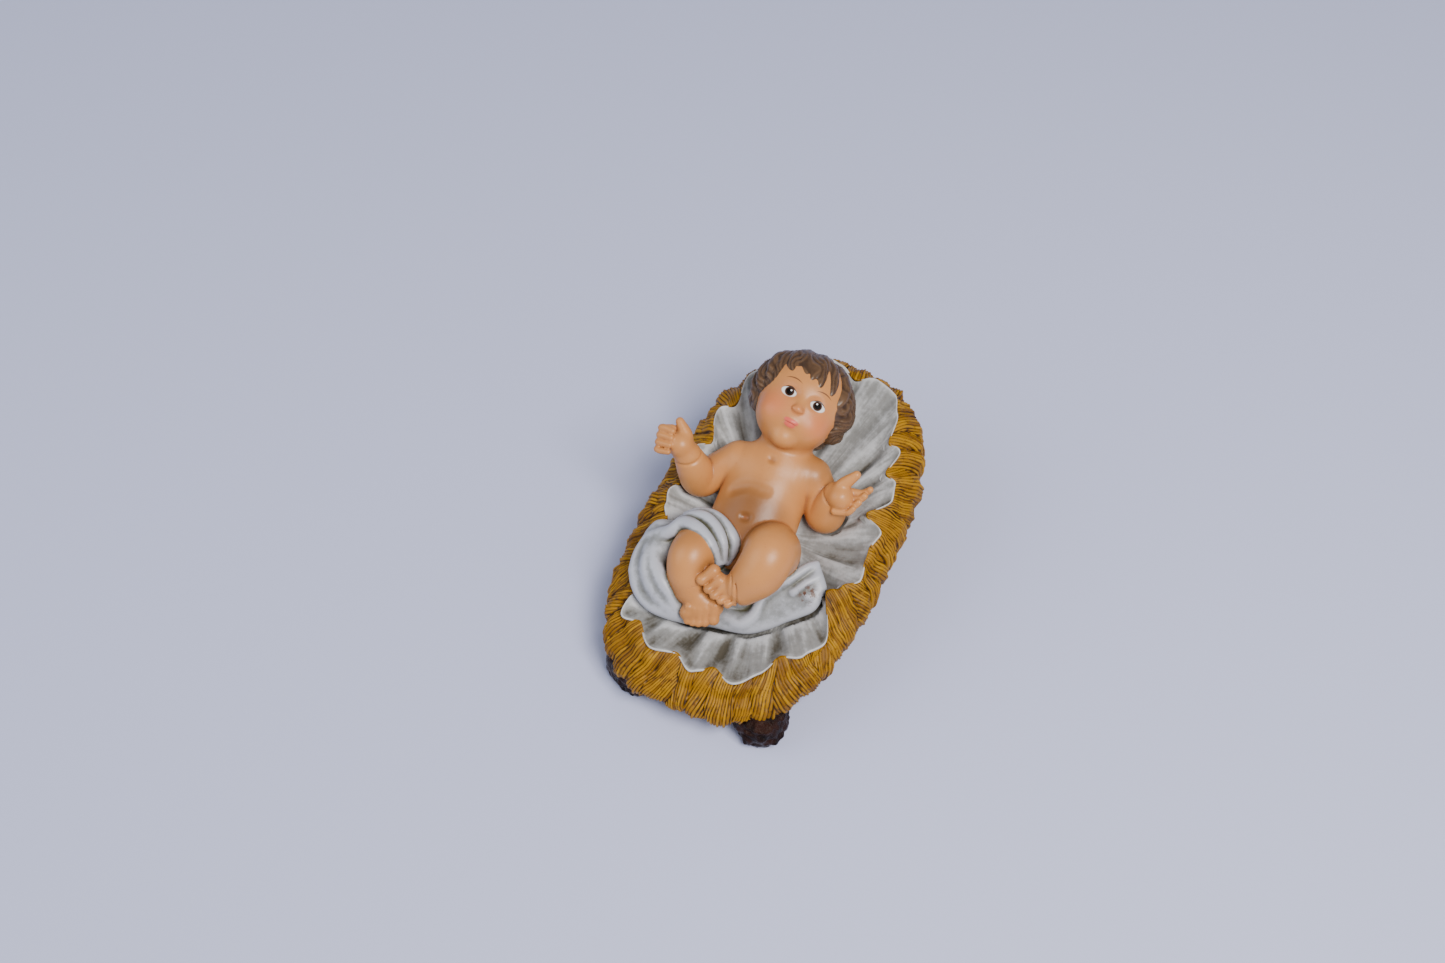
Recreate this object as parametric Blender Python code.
"""Infant figurine lying in a straw crib: two painted resin castings, the swaddled figure and its crib."""

import math

import bmesh
import bpy
from mathutils import Matrix, Vector
from mathutils.bvhtree import BVHTree

# Crib, in metres. +Y points to the head end and +X to the figure's left.
CRIB_LENGTH = 0.145
CRIB_WIDTH = 0.095
FOOT_RIM_HEIGHT = 0.020
HEAD_RIM_HEIGHT = 0.056
CRIB_SQUARENESS = 2.75
UNDERSIDE_HEIGHT = 0.0095
FRINGE_RISE = 0.005
UNDERCUT = 0.016

# Straw relief on the crib's outside.
AROUND = 108
STRAW_GROOVE = 0.00045
STRAW_CLUMP = 0.0009
CLUMPS = 23
FOOT_SKEW = 0.055

# Bed sheet: an oval with a ruffled edge that lies on the straw.
SHEET_SIDE_MARGIN = 0.0105
SHEET_FOOT_MARGIN = 0.0125
SHEET_HEAD_MARGIN = 0.0110
SHEET_LIFT = 0.0020
RUFFLE_DROOP = 0.018
BED_DEPTH_FOOT = 0.0115
BED_DEPTH_HEAD = 0.0070
PRINT_GAP = 0.0004
PRESS_REACH = 0.006
PRESSES = 12

# The sheet's edge: degrees round from the figure's left, and reach as a share of the plain oval.
RUFFLES = (
    (0, 1.02), (7, 1.00), (15, 1.03), (24, 0.84), (32, 1.00), (39, 0.98), (46, 0.88), (52, 0.96),
    (58, 0.88), (66, 0.97), (72, 1.02), (80, 1.01), (87, 0.96), (94, 1.00), (102, 1.02), (110, 0.95),
    (118, 1.00), (127, 1.04), (135, 0.94), (144, 1.03), (156, 0.90), (165, 1.02), (174, 1.04),
    (183, 0.95), (191, 1.03), (200, 0.98), (209, 0.91), (218, 0.93), (227, 0.98), (233, 0.96),
    (240, 1.10), (247, 0.99), (255, 1.02), (264, 0.96), (271, 1.02), (278, 0.96), (286, 1.03),
    (294, 1.00), (301, 0.95), (311, 1.05), (320, 1.10), (331, 0.86), (340, 0.95), (350, 1.06),
)

# Four bark-covered feet. Those at the toe end stand unevenly: x, and how far in from the crib's end.
LEG_RADIUS = 0.0102
LEG_SPACING_X = 0.052
LEG_TOE_ENDS = ((-0.0217, 0.0125), (0.0270, 0.0155))
LEG_HEAD_INSET = 0.0300
LEG_ROOT = 0.0170
LEG_SIDES = 12

# The figure. Its marks further down are drawn at a length of MARKS_LENGTH, for a bed that rises by
# MARKS_SLOPE, with its seat at MARKS_SEAT, and are laid in the crib at its own length and slope.
FIGURE_LENGTH = 0.1065
MARKS_LENGTH = 106.5
MARKS_SLOPE = 0.248
MARKS_SEAT = (0.0, -7.0, 24.8)
SEAT_FROM_FOOT_END = 0.0655
FIGURE_VOXEL = 0.00085
LIMB_SPANS = 2
FIGURE_SMOOTHING = 3
FIGURE_FACE_SHARE = 0.075


def material(name, colour, roughness):
    """A painted surface."""
    made = bpy.data.materials.new(name)
    made.use_nodes = True
    shader = made.node_tree.nodes["Principled BSDF"]
    shader.inputs["Base Color"].default_value = (*colour, 1.0)
    shader.inputs["Roughness"].default_value = roughness
    shader.inputs["Metallic"].default_value = 0.0
    return made


def object_from(mesh, name, surface):
    """A named smooth object from a bmesh."""
    data = bpy.data.meshes.new(name)
    bmesh.ops.recalc_face_normals(mesh, faces=mesh.faces)
    mesh.to_mesh(data)
    mesh.free()
    data.materials.append(surface)
    data.shade_smooth()
    made = bpy.data.objects.new(name, data)
    bpy.context.scene.collection.objects.link(made)
    return made


# The figure's clay: balls (centre, radii) and limbs (x, y, z, radius at each joint).

TORSO_BALLS = (
    ((-4.5, -11.0, 32.5), (16.5, 12.5, 11.5)),
    ((-5.2, -2.5, 36.0), (15.8, 13.5, 12.6)),
    ((-6.0, 5.0, 39.5), (15.4, 13.0, 12.2)),
    ((-6.6, 11.5, 43.0), (15.6, 12.0, 11.2)),
)
TORSO_LIMBS = (
    (
        (-19.3, 11.8, 45.0, 6.6), (-11.0, 14.5, 46.0, 8.0), (-1.0, 17.5, 46.2, 8.0),
        (6.4, 18.2, 45.2, 6.6),
    ),
    ((-6.0, 16.0, 46.0, 8.6), (-7.0, 26.0, 51.0, 9.5)),
)
ARMS = (
    (
        (-19.8, 12.3, 45.4, 6.7), (-25.0, 6.9, 42.0, 6.3), (-29.4, 1.6, 39.6, 6.7),
        (-31.4, 0.5, 46.0, 6.3), (-34.0, 0.7, 52.0, 5.1),
    ),
    (
        (6.8, 18.6, 45.6, 6.7), (11.6, 15.6, 41.0, 6.4), (16.0, 10.8, 37.6, 6.9),
        (17.7, 12.2, 43.0, 6.2), (18.8, 13.9, 48.0, 4.9),
    ),
)
HANDS = (
    ((-34.0, 0.7, 52.0), (-37.2, 0.8, 57.0), (-36.8, 3.8, 58.8), (-40.5, 6.4, 62.0), (-45.2, 1.6, 60.8),
     (-43.6, -4.6, 56.8), (3.0, 2.3, -1.4), (4.6, -0.3, 1.6)),
    ((18.8, 13.9, 48.0), (21.0, 12.4, 50.2), (20.0, 15.2, 53.0), (23.4, 19.4, 57.2), (27.0, 16.8, 51.4),
     (24.6, 8.6, 48.4), (-3.4, -0.9, -0.5), (2.6, 1.4, 2.6)),
)
LEGS = (
    ((-13.5, -13.0, 31.5, 10.0), (-15.6, -22.6, 38.2, 9.0), (-16.2, -29.0, 41.6, 7.9),
     (-15.2, -33.2, 38.2, 7.5),
     (-12.2, -36.6, 33.6, 6.3)),
    ((4.5, -10.5, 32.0, 11.3), (8.2, -14.6, 42.4, 10.3), (10.0, -20.0, 49.4, 9.2),
     (9.4, -25.8, 46.0, 8.8),
     (6.0, -31.2, 41.2, 6.7)),
)
# Ankle, ball of the foot, big toe, little toe, the way the toes point, and the forefoot's radius.
FEET = (
    (
        (-12.2, -36.6, 33.6), (-6.6, -38.2, 31.4), (-0.4, -41.4, 28.6), (-8.2, -46.6, 26.8),
        (0.24, -0.64, -0.73), 3.6,
    ),
    (
        (6.0, -31.2, 41.0), (0.8, -33.8, 39.6), (-8.0, -35.6, 41.2), (3.0, -39.2, 37.0),
        (-0.46, -0.82, -0.33), 2.5,
    ),
)
CLOTH_PADS = (
    ((-7.0, -22.0, 24.4), (25.0, 16.0, 8.6)),
    ((-6.0, -30.0, 20.5), (24.0, 11.5, 5.6)),
    ((-21.0, -20.5, 32.0), (11.0, 9.0, 9.5)),
    ((-28.8, -25.5, 34.5), (8.0, 9.0, 5.6)),
    ((-24.0, -33.0, 26.0), (10.5, 11.0, 8.0)),
)
# Bands of cloth between two edges with the same number of marks, and how many strips make each one.
CLOTH_BANDS = (
    (3, (
        (-33.5, -21.5, 35.5, 2.2), (-34.0, -27.5, 34.6, 2.3), (-34.2, -35.0, 33.0, 2.4),
        (-32.2, -41.1, 31.5, 2.4),
        (-27.8, -45.0, 28.8, 2.4), (-21.8, -46.7, 27.0, 2.3), (-15.6, -45.6, 25.4, 2.1),
        (-10.4, -43.6, 24.0, 1.8),
    ), (
        (-29.5, -24.0, 37.5, 2.4), (-29.8, -29.5, 37.0, 2.6), (-28.8, -34.0, 36.4, 3.0),
        (-25.6, -37.6, 35.6, 3.2),
        (-21.3, -40.1, 34.2, 3.1), (-17.0, -42.2, 31.0, 2.7), (-13.4, -43.0, 27.6, 2.2),
        (-10.0, -42.6, 25.0, 1.8),
    )),
    (5, (
        (-2.8, -39.3, 22.8, 1.8), (4.1, -37.8, 22.6, 2.0), (10.6, -35.6, 22.6, 2.0),
        (15.9, -31.4, 23.4, 2.0),
        (20.0, -27.2, 24.8, 2.0), (24.0, -24.0, 26.6, 1.9), (27.8, -20.4, 29.2, 1.8),
        (28.2, -14.4, 32.0, 1.7),
    ), (
        (0.6, -34.6, 24.4, 2.0), (5.0, -35.4, 24.4, 2.0), (9.4, -33.6, 25.2, 2.0),
        (11.6, -29.4, 27.2, 2.0),
        (13.6, -24.4, 30.0, 2.0), (16.6, -19.0, 32.4, 2.0), (19.8, -13.6, 34.0, 2.0),
        (22.6, -9.4, 34.6, 1.8),
    )),
)
CLOTH_FOLDS = (
    ((-13.5, -13.0, 31.5, 11.0), (-15.3, -20.6, 37.0, 10.1)),
    ((-30.0, -27.0, 39.0, 1.8), (-26.6, -24.0, 42.6, 2.4), (-23.6, -20.8, 44.8, 2.8),
     (-17.4, -21.8, 47.0, 2.7),
     (-10.9, -24.4, 45.6, 2.3), (-6.8, -26.2, 40.0, 1.5)),
    ((-26.4, -19.6, 42.0, 1.8), (-22.8, -16.6, 44.8, 1.9), (-18.0, -15.8, 46.8, 2.0),
     (-12.4, -17.8, 46.8, 2.0),
     (-7.8, -21.2, 44.8, 1.8), (-5.6, -24.8, 39.4, 1.3)),
    ((-25.6, -15.0, 40.0, 2.0), (-21.6, -13.2, 42.6, 2.3), (-15.4, -13.2, 44.4, 2.6),
     (-9.2, -15.4, 43.8, 2.7),
     (-5.0, -18.2, 41.6, 2.4), (-4.8, -23.4, 37.8, 1.5)),
    ((-26.4, -23.4, 42.4, 2.0), (-30.6, -25.6, 39.4, 2.2), (-34.4, -28.4, 36.0, 1.9),
     (-35.4, -34.0, 34.4, 1.6),
     (-34.0, -40.0, 32.6, 1.4)),
    ((-31.6, -32.0, 37.2, 1.6), (-30.0, -37.4, 36.4, 1.9), (-26.4, -41.4, 34.2, 2.0),
     (-21.0, -44.0, 31.2, 1.8),
     (-15.6, -45.0, 28.0, 1.4)),
    ((1.4, -34.0, 25.6, 1.2), (3.8, -36.9, 25.0, 1.6), (8.2, -36.9, 25.4, 1.9),
     (10.9, -32.6, 27.4, 2.0),
     (11.4, -27.0, 30.6, 2.0), (14.0, -21.6, 33.4, 1.9), (17.6, -16.4, 35.2, 1.8),
     (20.6, -11.0, 36.2, 1.6),
     (22.6, -8.2, 35.8, 1.4)),
    ((20.0, -20.4, 32.6, 1.2), (22.6, -16.0, 34.2, 1.4), (25.4, -11.6, 34.8, 1.2)),
)
KNOT = ((25.2, -18.4, 32.0), (2.2, 1.8, 1.2))

# The head, about its own middle: x to the figure's left, y to the crown, z out of the face.
HEAD_MIDDLE = (-7.3, 34.9, 59.4)
HEAD_CROWN = (0.029, 0.933, 0.359)
HEAD_FRONT = (0.251, -0.353, 0.901)
SKULL_BALLS = (
    ((0.0, 3.0, -1.0), (16.4, 15.6, 16.4)),
    ((0.0, -4.5, 3.0), (14.2, 13.0, 12.3)),
    ((-6.0, -7.4, 7.8), (6.2, 5.8, 5.4)),
    ((6.0, -7.4, 7.8), (6.2, 5.8, 5.4)),
    ((0.0, -14.8, 8.2), (4.4, 3.4, 3.9)),
    ((0.0, -9.9, 13.2), (2.6, 1.3, 1.4)),
    ((0.0, 3.0, -2.6), (18.9, 16.6, 17.6)),
)
NOSE = ((0.0, -0.4, 13.8, 1.2), (0.0, -4.6, 15.9, 1.45))
HAIR_CAP_MIDDLE = (0.0, 3.0, -2.6)
HAIR_CAP_RADII = (18.9, 16.6, 17.6)
HAIR_DEPTH = 0.94
HAIR_CROWN_TURN = (100.0, -30.0)
FRINGE = (
    (-156.0, 26.0), (-174.0, 36.0), (-194.0, 46.0), (-216.0, 58.0), (-236.0, 68.0), (-256.0, 74.0),
    (-272.0, 64.0), (-290.0, 70.0), (-308.0, 74.0), (-326.0, 62.0), (-346.0, 48.0), (-366.0, 38.0),
    (-384.0, 28.0),
)
LOCK_RADII = (2.2, 2.6, 2.1, 1.1)
TOE_LENGTH = 5.2
TOE_RISE = (0.35, -0.65, 1.15)


def laid_in_crib():
    """Turns the figure's marks into places in the crib: its seat on the bed and its back along the slope."""
    slope = (HEAD_RIM_HEIGHT - FOOT_RIM_HEIGHT) / CRIB_LENGTH
    seat_y = SEAT_FROM_FOOT_END - CRIB_LENGTH / 2.0
    return (
        Matrix.Translation((0.0, seat_y, bed_height(seat_y, 0.0)))
        @ Matrix.Rotation(math.atan(slope) - math.atan(MARKS_SLOPE), 4, "X")
        @ Matrix.Scale(FIGURE_LENGTH / MARKS_LENGTH, 4)
        @ Matrix.Translation(Vector(MARKS_SEAT) * -1.0)
    )


def ball(mesh, centre, radii, turn=None):
    """An ellipsoid of clay. turn is a rotation matrix."""
    place = Matrix.Translation(centre) @ ((turn or Matrix.Identity(3)) @ Matrix.Diagonal(radii)).to_4x4()
    bmesh.ops.create_icosphere(mesh, subdivisions=3, radius=1.0, matrix=laid_in_crib() @ place)


def curve_through(joints):
    """Joints along the smooth curve through the given ones, radii included."""
    joints = [Vector(joint) for joint in joints]
    if len(joints) < 3:
        return joints
    ends = [2.0 * joints[0] - joints[1], *joints, 2.0 * joints[-1] - joints[-2]]
    found = []
    for a, b, c, d in zip(ends, ends[1:], ends[2:], ends[3:]):
        for part in range(LIMB_SPANS):
            t = part / LIMB_SPANS
            bend = t * (2.0 * a - 5.0 * b + 4.0 * c - d + t * (3.0 * (b - c) + d - a))
            found.append(b + 0.5 * t * (c - a + bend))
    return [*found, joints[-1]]


def limb(mesh, joints):
    """A curved chain of clay: each two neighbouring joints are wrapped in one tapered capsule."""
    joints = curve_through(joints)
    for first, second in zip(joints, joints[1:]):
        part = bmesh.new()
        for x, y, z, radius in (first, second):
            place = laid_in_crib() @ Matrix.Translation((x, y, z))
            bmesh.ops.create_icosphere(part, subdivisions=2, radius=radius, matrix=place)
        hull = bmesh.ops.convex_hull(part, input=part.verts)
        spare = (*hull["geom_interior"], *hull["geom_unused"])
        loose = {item for item in spare if isinstance(item, bmesh.types.BMVert)}
        bmesh.ops.delete(part, geom=list(loose), context="VERTS")
        data = bpy.data.meshes.new("part")
        part.to_mesh(data)
        part.free()
        mesh.from_mesh(data)
        bpy.data.meshes.remove(data)


def head_frame():
    crown = Vector(HEAD_CROWN).normalized()
    front = Vector(HEAD_FRONT).normalized()
    side = crown.cross(front).normalized()
    return Matrix((side, front.cross(side), front)).transposed()


def on_cap(around, forward):
    """A point of the hair cap: degrees around the face's axis, and degrees forward of the ears."""
    angle, rise = math.radians(around), math.radians(forward)
    radial = (math.cos(angle) * math.cos(rise), math.sin(angle) * math.cos(rise), math.sin(rise))
    return Vector(HAIR_CAP_MIDDLE) + Vector([part * radius for part, radius in zip(radial, HAIR_CAP_RADII)])


def on_skull(point):
    """Lifts a point of a lock out to the skull where it would lie inside it."""
    for centre, radii in SKULL_BALLS[:2]:
        away = point - Vector(centre)
        depth = math.sqrt(sum((part / size) ** 2 for part, size in zip(away, radii)))
        if depth < 1.0:
            point = Vector(centre) + away / depth
    return point


def model_head(mesh):
    """Skull, cheeks, chin, lips and nose, and the hair with its swept locks."""
    frame = head_frame()
    middle = Vector(HEAD_MIDDLE)
    for centre, radii in SKULL_BALLS:
        ball(mesh, middle + frame @ Vector(centre), radii, frame)
    limb(mesh, [(*(middle + frame @ Vector(joint[:3])), joint[3]) for joint in NOSE])
    crown = on_cap(*HAIR_CROWN_TURN)
    for number, tip_turn in enumerate(FRINGE):
        tip = on_cap(*tip_turn)
        joints = []
        for share, radius in zip((0.15, 0.5, 0.8, 1.0), LOCK_RADII):
            point = crown.lerp(tip, share) - Vector(HAIR_CAP_MIDDLE)
            stretch = math.sqrt(sum((part / size) ** 2 for part, size in zip(point, HAIR_CAP_RADII)))
            sweep = Matrix.Rotation(math.radians(9.0 * math.sin(3.0 * share + number)), 3, "Z")
            point = Vector(HAIR_CAP_MIDDLE) + sweep @ point * HAIR_DEPTH / stretch
            point = on_skull(point)
            joints.append((*(middle + frame @ point), radius))
        limb(mesh, joints)


def model_hand(mesh, wrist, palm, thumb_root, thumb, first_knuckle, last_knuckle, to_root, to_tip):
    """A plump hand: palm, thumb and four curled fingers side by side."""
    palm, to_root, to_tip = Vector(palm), Vector(to_root), Vector(to_tip)
    first, last = Vector(first_knuckle), Vector(last_knuckle)
    middle = (first + last) / 2.0 + to_root
    limb(mesh, [(*wrist, 4.5), (*palm, 4.5)])
    limb(mesh, [(*palm, 4.3), (*palm.lerp(middle, 0.6), 3.9)])
    limb(mesh, [(*palm, 3.3), (*thumb_root, 2.8), (*thumb, 1.7)])
    for number, size in enumerate((1.35, 1.42, 1.36, 1.20)):
        knuckle = first.lerp(last, number / 3.0)
        bend = knuckle + 0.45 * to_tip + 0.10 * (knuckle - palm)
        limb(mesh, [(*(knuckle + to_root), size + 0.4), (*knuckle, size + 0.1), (*bend, size)])
        limb(mesh, [(*bend, size), (*(knuckle + to_tip), size - 0.12)])


def model_foot(mesh, ankle, ball_of_foot, big_toe, little_toe, toe_way, size):
    """A plump foot: heel, instep, a broad forefoot and five toes side by side."""
    middle, big, little = Vector(ball_of_foot), Vector(big_toe), Vector(little_toe)
    along = Vector(toe_way).normalized()
    big_root, little_root = big - 0.8 * TOE_LENGTH * along, little - 0.75 * TOE_LENGTH * along
    limb(mesh, [(*ankle, 5.6), (*middle, size + 1.4)])
    for root in (big_root, little_root):
        limb(mesh, [(*middle, size + 1.0), (*root, 0.85 * size)])
    limb(mesh, [(*big_root, 0.8 * size), (*little_root, 0.72 * size)])
    for share, radius, ahead in ((0.0, 2.2, 0.2), (0.32, 1.7, 0.7), (0.56, 1.6, 0.5), (0.79, 1.5, -0.1), (1.0, 1.4, -1.0)):
        tip = big.lerp(little, share) + Vector(TOE_RISE) + ahead * along
        limb(mesh, [(*(tip - TOE_LENGTH * along), radius + 0.2), (*tip, radius)])


def model_body(mesh):
    turn = Matrix.Rotation(math.radians(15.0), 3, "Z") @ Matrix.Rotation(math.radians(25.0), 3, "X")
    for centre, radii in TORSO_BALLS:
        ball(mesh, centre, radii, turn)
    for joints in (*TORSO_LIMBS, *ARMS, *LEGS):
        limb(mesh, joints)
    for marks in HANDS:
        model_hand(mesh, *marks)
    for marks in FEET:
        model_foot(mesh, *marks)


def model_cloth(mesh):
    """The swaddling cloth: pads under the legs, folds over the right thigh and a swag with a knot."""
    for centre, radii in (*CLOTH_PADS, KNOT):
        ball(mesh, centre, radii, Matrix.Rotation(math.radians(20.0), 3, "Z"))
    for strips, first, last in CLOTH_BANDS:
        for strip in range(strips):
            share = strip / (strips - 1)
            limb(mesh, [Vector(one).lerp(Vector(other), share) for one, other in zip(first, last)])
    for joints in CLOTH_FOLDS:
        limb(mesh, joints)


def outer_shell(mesh):
    """Keeps the largest connected skin of a mesh and drops the pockets inside it."""
    left = set(mesh.verts)
    shells = []
    while left:
        front = [left.pop()]
        shell = set(front)
        while front:
            for edge in front.pop().link_edges:
                for vertex in edge.verts:
                    if vertex in left:
                        left.remove(vertex)
                        shell.add(vertex)
                        front.append(vertex)
        shells.append(shell)
    largest = max(shells, key=len)
    bmesh.ops.delete(mesh, geom=[vertex for vertex in mesh.verts if vertex not in largest], context="VERTS")


def make_figure():
    """The clay fused into one skin, with softened joints and fewer faces."""
    mesh = bmesh.new()
    model_body(mesh)
    model_head(mesh)
    model_cloth(mesh)
    paint = material("painted_resin_skin", (0.75, 0.52, 0.38), 0.45)
    clay = object_from(mesh, "clay", paint)
    skin = clay.modifiers.new("skin", "REMESH")
    skin.mode = "VOXEL"
    skin.voxel_size = FIGURE_VOXEL
    soft = clay.modifiers.new("soft", "SMOOTH")
    soft.factor = 0.5
    soft.iterations = FIGURE_SMOOTHING
    thin = clay.modifiers.new("thin", "DECIMATE")
    thin.ratio = FIGURE_FACE_SHARE
    fused = bmesh.new()
    fused.from_object(clay, bpy.context.evaluated_depsgraph_get())
    outer_shell(fused)
    bmesh.ops.triangulate(fused, faces=fused.faces)
    bpy.data.objects.remove(clay)
    return object_from(fused, "baby", paint)


def press_print(sheet, figure):
    """Lowers the bed under the figure until it clears it everywhere."""
    places = figure.data.vertices
    points = [vertex.co for vertex in places] + [face.center for face in figure.data.polygons]
    points += [(places[first].co + places[second].co) / 2.0 for first, second in figure.data.edge_keys]
    points = [point for point in points if point.z < rim_height(point.y) + PRESS_REACH]
    for _ in range(PRESSES):
        sheet.faces.ensure_lookup_table()
        tree = BVHTree.FromBMesh(sheet)
        drops = {}
        for point in points:
            above = Vector((point.x, point.y, 1.0))
            top, _, index, _ = tree.ray_cast(above, Vector((0.0, 0.0, -1.0)))
            if top and top.z > point.z - PRINT_GAP:
                for vertex in sheet.faces[index].verts:
                    drops[vertex] = max(drops.get(vertex, 0.0), top.z - point.z + PRINT_GAP)
        for vertex, drop in drops.items():
            vertex.co.z -= drop


def rim_height(y):
    """Height of the straw rim, which rises from the foot end to the head end."""
    return FOOT_RIM_HEIGHT + (HEAD_RIM_HEIGHT - FOOT_RIM_HEIGHT) * (y / CRIB_LENGTH + 0.5)


def smooth_step(value, low, high):
    share = min(1.0, max(0.0, (value - low) / (high - low)))
    return share * share * (3.0 - 2.0 * share)


def oval(turn, half_width, half_length, centre_y=0.0):
    """A point of a superellipse, at an angle given in turns."""
    angle = 2.0 * math.pi * turn
    power = 2.0 / CRIB_SQUARENESS
    x = math.copysign(abs(math.cos(angle)) ** power, math.cos(angle)) * half_width
    y = math.copysign(abs(math.sin(angle)) ** power, math.sin(angle)) * half_length
    return x, centre_y + y + FOOT_SKEW * x * max(0.0, -y / half_length)


def ruffle(x, y):
    """How far out the sheet's edge goes in the direction of a point, as a share of the plain oval."""
    degrees = math.degrees(math.atan2(y, x)) % 360.0
    for (low, first), (high, second) in zip(RUFFLES, (*RUFFLES[1:], (360.0 + RUFFLES[0][0], RUFFLES[0][1]))):
        if low <= degrees <= high:
            return first + (second - first) * smooth_step(degrees, low, high)
    return 1.0


def bed_height(y, reach):
    """Height of the plain bed. reach is the share of the way from its middle to its edge."""
    depth = BED_DEPTH_FOOT + (BED_DEPTH_HEAD - BED_DEPTH_FOOT) * smooth_step(y / CRIB_LENGTH, -0.2, 0.3)
    return rim_height(y) - depth * (1.0 - reach**2.4) + SHEET_LIFT * reach**4


def sheet_ring(reach, count):
    """One ring of the sheet, closer in for a smaller reach."""
    half_width = CRIB_WIDTH / 2.0 - SHEET_SIDE_MARGIN
    half_length = (CRIB_LENGTH - SHEET_FOOT_MARGIN - SHEET_HEAD_MARGIN) / 2.0
    centre = (SHEET_FOOT_MARGIN - SHEET_HEAD_MARGIN) / 2.0
    fade = max(0.0, (reach - 0.4) / 0.6)
    ring = []
    for step in range(count):
        x, y = oval(step / count, half_width, half_length)
        flare = (ruffle(x, y) - 1.0) * fade**1.5
        x, y = x * reach * (1.0 + flare), centre + y * reach * (1.0 + flare)
        ring.append((x, y, bed_height(y, reach) - RUFFLE_DROOP * flare))
    return ring


def straw_relief(step, height_share):
    """How far the straw stands out: a groove at every other step, in clumps."""
    turn = step / AROUND
    groove = STRAW_GROOVE if step % 2 else -STRAW_GROOVE
    lean = turn + 0.008 * math.sin(2.0 * math.pi * (5.0 * turn + 0.6 * height_share))
    clump = math.sin(2.0 * math.pi * CLUMPS * lean)
    clump += 0.6 * math.sin(2.0 * math.pi * (37.0 * turn + height_share))
    return groove * (0.6 + 0.4 * math.sin(2.0 * math.pi * 7.0 * turn)) + STRAW_CLUMP * clump / 1.6


def straw_ring(margin, height_share):
    """One ring of the straw's outside. height_share is 0 at the lower fringe and 1 at the rim."""
    ring = []
    for step in range(AROUND):
        turn = step / AROUND
        head_share = oval(turn, 1.0, 0.5)[1] + 0.5
        fringe = UNDERSIDE_HEIGHT + FRINGE_RISE * head_share
        undercut = UNDERCUT * head_share * max(0.0, 1.0 - height_share) ** 1.6
        inward = margin + undercut - straw_relief(step, height_share)
        x, y = oval(turn, CRIB_WIDTH / 2.0 - inward, CRIB_LENGTH / 2.0 - inward)
        ring.append((x, y, fringe + (rim_height(y) - fringe) * height_share))
    return ring


STRAW_PROFILE = (
    (0.0065, 0.0), (0.0022, 0.05), (0.0006, 0.22), (0.0, 0.45), (0.0010, 0.68), (0.0034, 0.83),
    (0.0066, 0.91),
)


def join_rings(mesh, outer, inner):
    """Faces between two rings of vertices. The inner ring may have half as many."""
    count = len(outer)
    for step in range(len(inner)):
        after = (step + 1) % len(inner)
        if count == len(inner):
            mesh.faces.new((outer[step], outer[after], inner[after], inner[step]))
            continue
        middle, end = 2 * step + 1, (2 * step + 2) % count
        mesh.faces.new((outer[2 * step], outer[middle], inner[step]))
        mesh.faces.new((outer[middle], inner[after], inner[step]))
        mesh.faces.new((outer[middle], outer[end], inner[after]))


def crib_shell(surface, figure):
    """The straw and its sheet as one closed loft, from the underside's middle to the bed's middle."""
    rings = [straw_ring(margin, share) for margin, share in STRAW_PROFILE]
    rings.insert(0, [(x * 0.94, y * 0.96, UNDERSIDE_HEIGHT) for x, y, _ in rings[0]])
    rings.insert(0, [(x * 0.80, y * 0.85, UNDERSIDE_HEIGHT) for x, y, _ in rings[0][::2]])
    lip = sheet_ring(1.0, AROUND)
    rings += [[(x * 0.992, y * 0.994, z - 0.0013) for x, y, z in lip], lip]
    rings += [sheet_ring(reach, AROUND) for reach in (0.95, 0.88, 0.80)]
    rings += [sheet_ring(reach, AROUND // 2) for reach in (0.72, 0.63, 0.54, 0.45, 0.36)]
    rings += [sheet_ring(reach, AROUND // 4) for reach in (0.27, 0.18, 0.08)]
    mesh = bmesh.new()
    loops = [[mesh.verts.new(point) for point in ring] for ring in rings]
    for first, second in zip(loops, loops[1:]):
        join_rings(mesh, *sorted((first, second), key=len, reverse=True))
    mesh.faces.new(loops[0])
    mesh.faces.new(loops[-1])
    press_print(mesh, figure)
    return object_from(mesh, "crib", surface)


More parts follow.
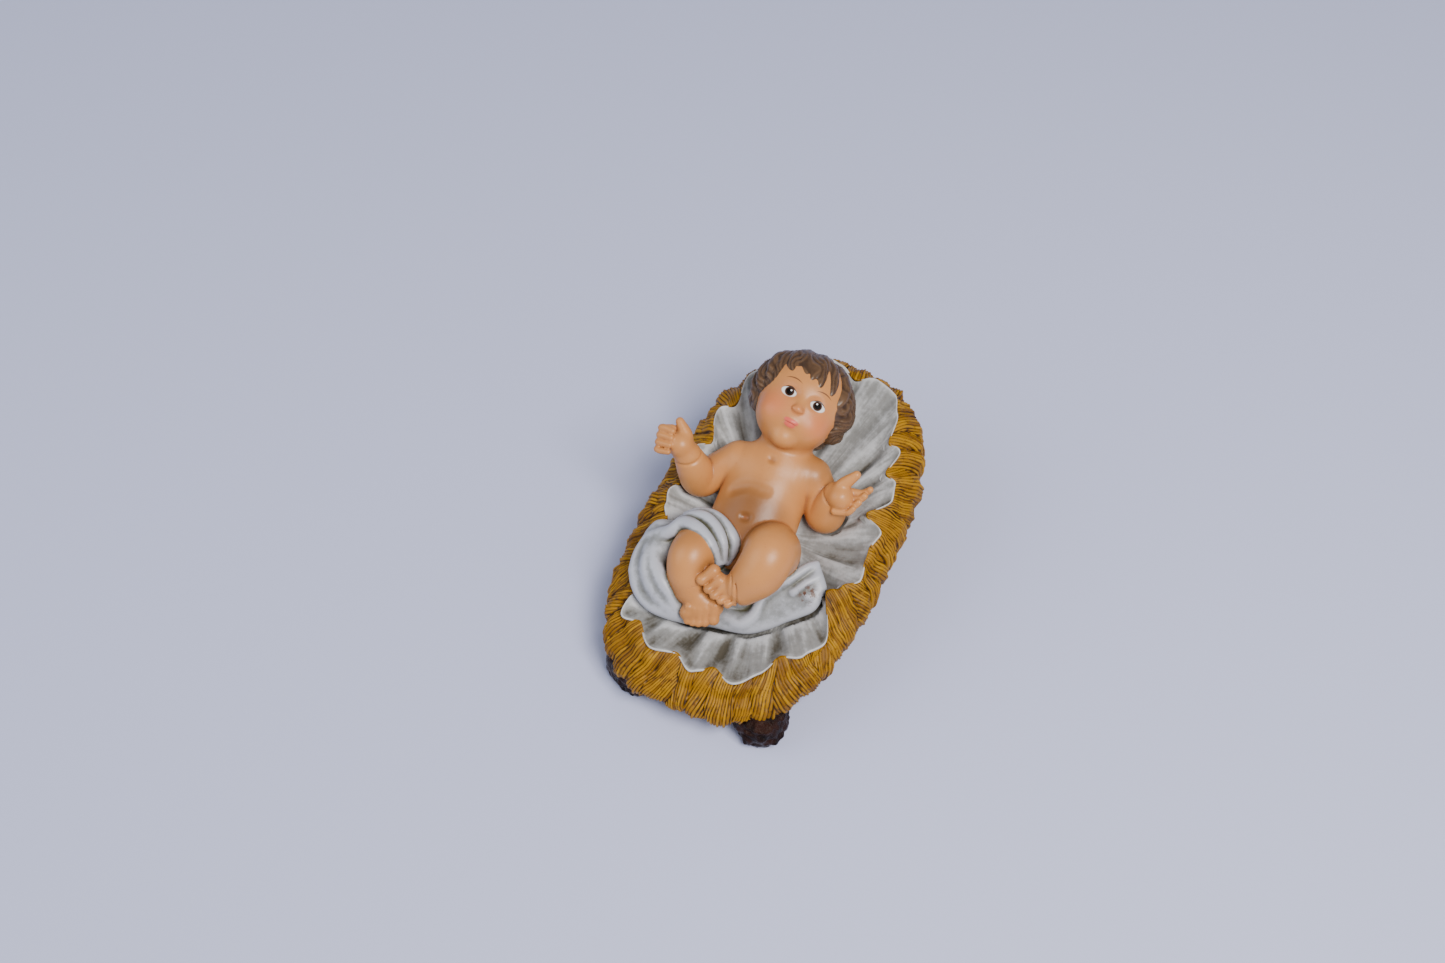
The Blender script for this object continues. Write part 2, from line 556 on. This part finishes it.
def leg(name, x, y, surface):
    """A stub of a log with lumpy bark and a flat foot."""
    profile = ((0.0, 0.76), (0.0012, 0.88), (0.0045, 1.0), (UNDERSIDE_HEIGHT, 1.0), (LEG_ROOT, 0.85))
    mesh = bmesh.new()
    loops = []
    for height, share in profile:
        loop = []
        for side in range(LEG_SIDES):
            angle = 2.0 * math.pi * side / LEG_SIDES
            lump = 1.0 + 0.06 * math.sin(3.0 * angle + 400.0 * x)
            lump += 0.04 * math.sin(5.0 * angle + 900.0 * height)
            radius = LEG_RADIUS * share * (lump if height else 1.0)
            loop.append(mesh.verts.new((x + radius * math.cos(angle), y + radius * math.sin(angle), height)))
        loops.append(loop)
    for first, second in zip(loops, loops[1:]):
        join_rings(mesh, first, second)
    mesh.faces.new(loops[0])
    mesh.faces.new(loops[-1])
    made = object_from(mesh, name, surface)
    made.hide_render = True
    made.display_type = "WIRE"
    return made


def make_crib(figure):
    surface = material("painted_resin_straw", (0.55, 0.33, 0.05), 0.55)
    crib = crib_shell(surface, figure)
    places = [(x, -CRIB_LENGTH / 2.0 + inset) for x, inset in LEG_TOE_ENDS]
    places += [(side * LEG_SPACING_X / 2.0, CRIB_LENGTH / 2.0 - LEG_HEAD_INSET) for side in (-1.0, 1.0)]
    for number, (x, y) in enumerate(places, 1):
        union = crib.modifiers.new(f"leg_{number}", "BOOLEAN")
        union.object = leg(f"leg_{number}", x, y, surface)
        union.operation = "UNION"
        union.solver = "EXACT"
    return crib


def centre_on_floor(pieces):
    """Moves everything by one step, so that the middle of the pieces' footprint is at the origin."""
    graph = bpy.context.evaluated_depsgraph_get()
    points = []
    for piece in pieces:
        points += [piece.matrix_world @ vertex.co for vertex in piece.evaluated_get(graph).data.vertices]
    low = [min(point[axis] for point in points) for axis in range(3)]
    high = [max(point[axis] for point in points) for axis in range(3)]
    for made in bpy.data.objects:
        made.location = (-(low[0] + high[0]) / 2.0, -(low[1] + high[1]) / 2.0, -low[2])


def main():
    for old in list(bpy.data.objects):
        bpy.data.objects.remove(old)
    figure = make_figure()
    crib = make_crib(figure)
    centre_on_floor((figure, crib))


main()
